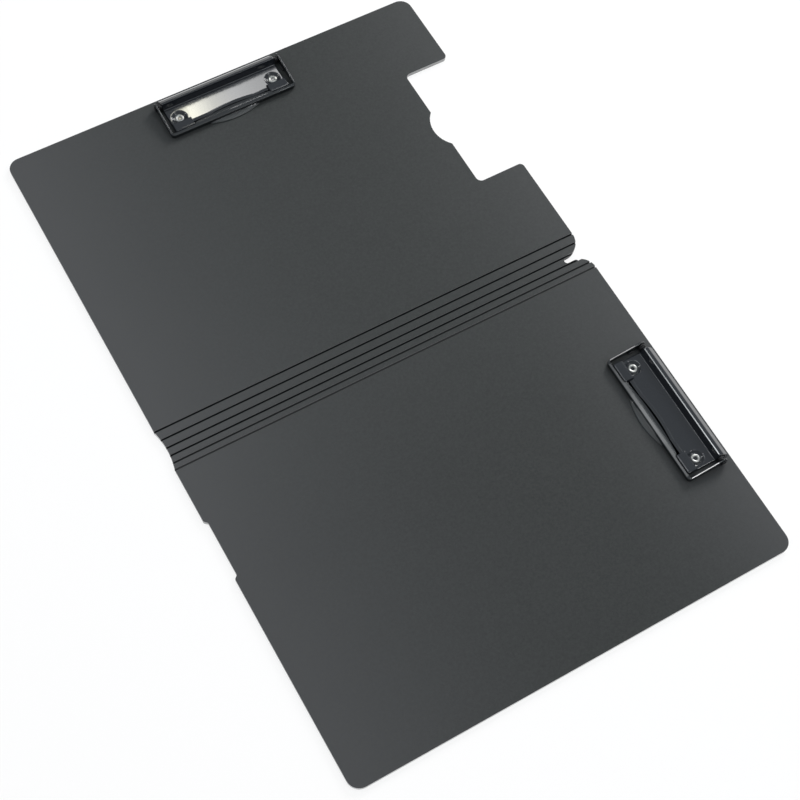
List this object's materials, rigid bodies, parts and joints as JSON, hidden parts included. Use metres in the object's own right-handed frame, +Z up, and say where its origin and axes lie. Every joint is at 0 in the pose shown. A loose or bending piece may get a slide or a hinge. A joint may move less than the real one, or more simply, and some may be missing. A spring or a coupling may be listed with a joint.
{
  "type": "clipboard folder",
  "caption": "Flat folding clipboard: a base panel and a cover joined by a spine of narrow strips, with a low-profile clip on the cover's far edge and another on the base's side edge.",
  "frame": {"origin": "the middle of the flat underside of the board, lying open", "axes": "+Z up from the underside, +Y from the base panel to the cover's far edge, +X along the folds to the side clip's edge"},
  "size_m": [0.315, 0.488, 0.01],
  "materials": {
    "board": "fine satin grain, dark grey",
    "clip_plate": "gloss black",
    "clip_jaw": "gloss black",
    "rod": "plain steel",
    "spring": "spring steel",
    "rivet": "bright nickel",
    "washer": "zinc plated"
  },
  "bodies": {
    "base": {"base_panel": "board", "side_clip_base_plate": "clip_plate", "side_clip_pivot_rod": "rod", "side_clip_left_spring": "spring", "side_clip_right_spring": "spring", "side_clip_rivets": "rivet", "side_clip_washers": "washer"},
    "strip_1": {"spine_strip_1": "board"},
    "strip_2": {"spine_strip_2": "board"},
    "strip_3": {"spine_strip_3": "board"},
    "strip_4": {"spine_strip_4": "board"},
    "strip_5": {"spine_strip_5": "board"},
    "cover": {"cover_panel": "board", "top_clip_base_plate": "clip_plate", "top_clip_pivot_rod": "rod", "top_clip_left_spring": "spring", "top_clip_right_spring": "spring", "top_clip_rivets": "rivet", "top_clip_washers": "washer"},
    "top_jaw": {"top_clip_jaw": "clip_jaw"},
    "side_jaw": {"side_clip_jaw": "clip_jaw"}
  },
  "joints": [
    {"name": "fold_1", "type": "hinge", "parent": "base", "child": "strip_1", "pos_m": [0, -0.0146, 0.0005], "axis": [1, 0, 0], "range_deg": [0, 30]},
    {"name": "fold_2", "type": "hinge", "parent": "strip_1", "child": "strip_2", "pos_m": [0, -0.0099, 0.0005], "axis": [1, 0, 0], "range_deg": [0, 30]},
    {"name": "fold_3", "type": "hinge", "parent": "strip_2", "child": "strip_3", "pos_m": [0, -0.00463, 0.0005], "axis": [1, 0, 0], "range_deg": [0, 30]},
    {"name": "fold_4", "type": "hinge", "parent": "strip_3", "child": "strip_4", "pos_m": [0, 0.00121, 0.0005], "axis": [1, 0, 0], "range_deg": [0, 30]},
    {"name": "fold_5", "type": "hinge", "parent": "strip_4", "child": "strip_5", "pos_m": [0, 0.00762, 0.0005], "axis": [1, 0, 0], "range_deg": [0, 30]},
    {"name": "fold_6", "type": "hinge", "parent": "strip_5", "child": "cover", "pos_m": [0, 0.0146, 0.0005], "axis": [1, 0, 0], "range_deg": [0, 30]},
    {"name": "top_jaw_lift", "type": "hinge", "parent": "cover", "child": "top_jaw", "pos_m": [0, 0.2356, 0.0066], "axis": [-1, 0, 0], "range_deg": [0, 25], "stiffness_Nm_per_rad": 0.25, "springref_deg": -34.38, "deforming": ["top_clip_left_spring", "top_clip_right_spring"]},
    {"name": "side_jaw_lift", "type": "hinge", "parent": "base", "child": "side_jaw", "pos_m": [0.1491, -0.1285, 0.0066], "axis": [0, 1, 0], "range_deg": [0, 25], "stiffness_Nm_per_rad": 0.25, "springref_deg": -34.38, "deforming": ["side_clip_left_spring", "side_clip_right_spring"]}
  ]
}
